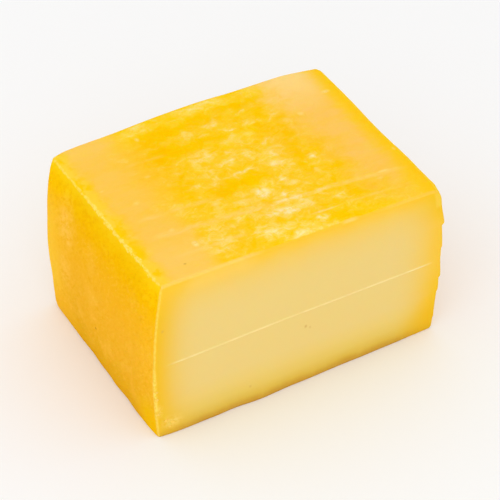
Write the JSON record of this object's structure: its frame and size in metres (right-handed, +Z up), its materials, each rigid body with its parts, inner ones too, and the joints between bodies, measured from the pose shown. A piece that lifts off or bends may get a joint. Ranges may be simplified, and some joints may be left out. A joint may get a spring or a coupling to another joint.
{
  "type": "vacherin cheese",
  "caption": "Rectangular end piece of soft washed-rind cheese, cut on one face, with waxy yellow rind on its other sides. Rests flat on its base.",
  "frame": {"origin": "middle of the bounding box's footprint, on the surface that the piece rests on", "axes": "+X along the cut face, to the right seen from in front of it; +Y from the cut face to the back rind; +Z up"},
  "size_m": [0.1168, 0.0856, 0.0684],
  "materials": {
    "cheese": "waxy yellow rind with a pale smooth cut face"
  },
  "bodies": {
    "root": {"cheese": "cheese"}
  },
  "joints": []
}
